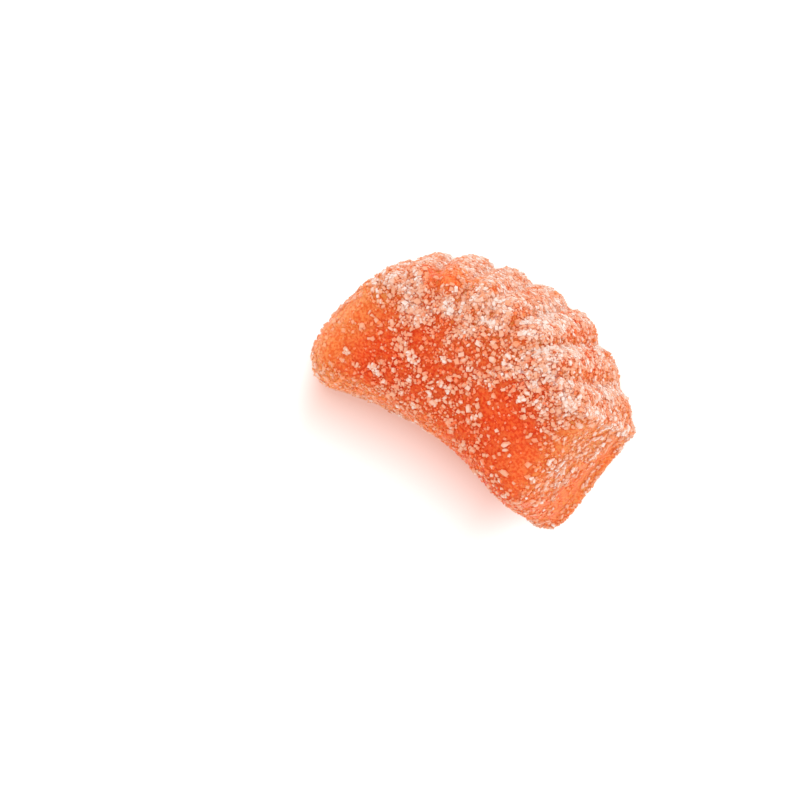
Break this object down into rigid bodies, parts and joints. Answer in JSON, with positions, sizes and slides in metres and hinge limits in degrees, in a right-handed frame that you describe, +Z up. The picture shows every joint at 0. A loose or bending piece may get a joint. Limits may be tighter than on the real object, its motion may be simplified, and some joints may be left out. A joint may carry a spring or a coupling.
{
  "type": "orange slice candy",
  "caption": "Soft jelly candy moulded as a half-moon fruit slice, with a flat base, a fluted outer wall, sloping ends, a hollowed inner wall and a coat of sugar.",
  "frame": {"origin": "middle of the footprint of the flat base, on the surface that the candy lies on", "axes": "+Z up from the flat base to the domed top, +X along the slice from end to end, +Y towards the fluted outer wall"},
  "size_m": [0.0404, 0.0265, 0.018],
  "materials": {
    "jelly": "soft translucent orange jelly, lightly glossy where the sugar is thin",
    "sugar": "clear to white sugar crystals that take some of the jelly's orange"
  },
  "bodies": {
    "root": {"slice": "jelly"}
  },
  "joints": []
}
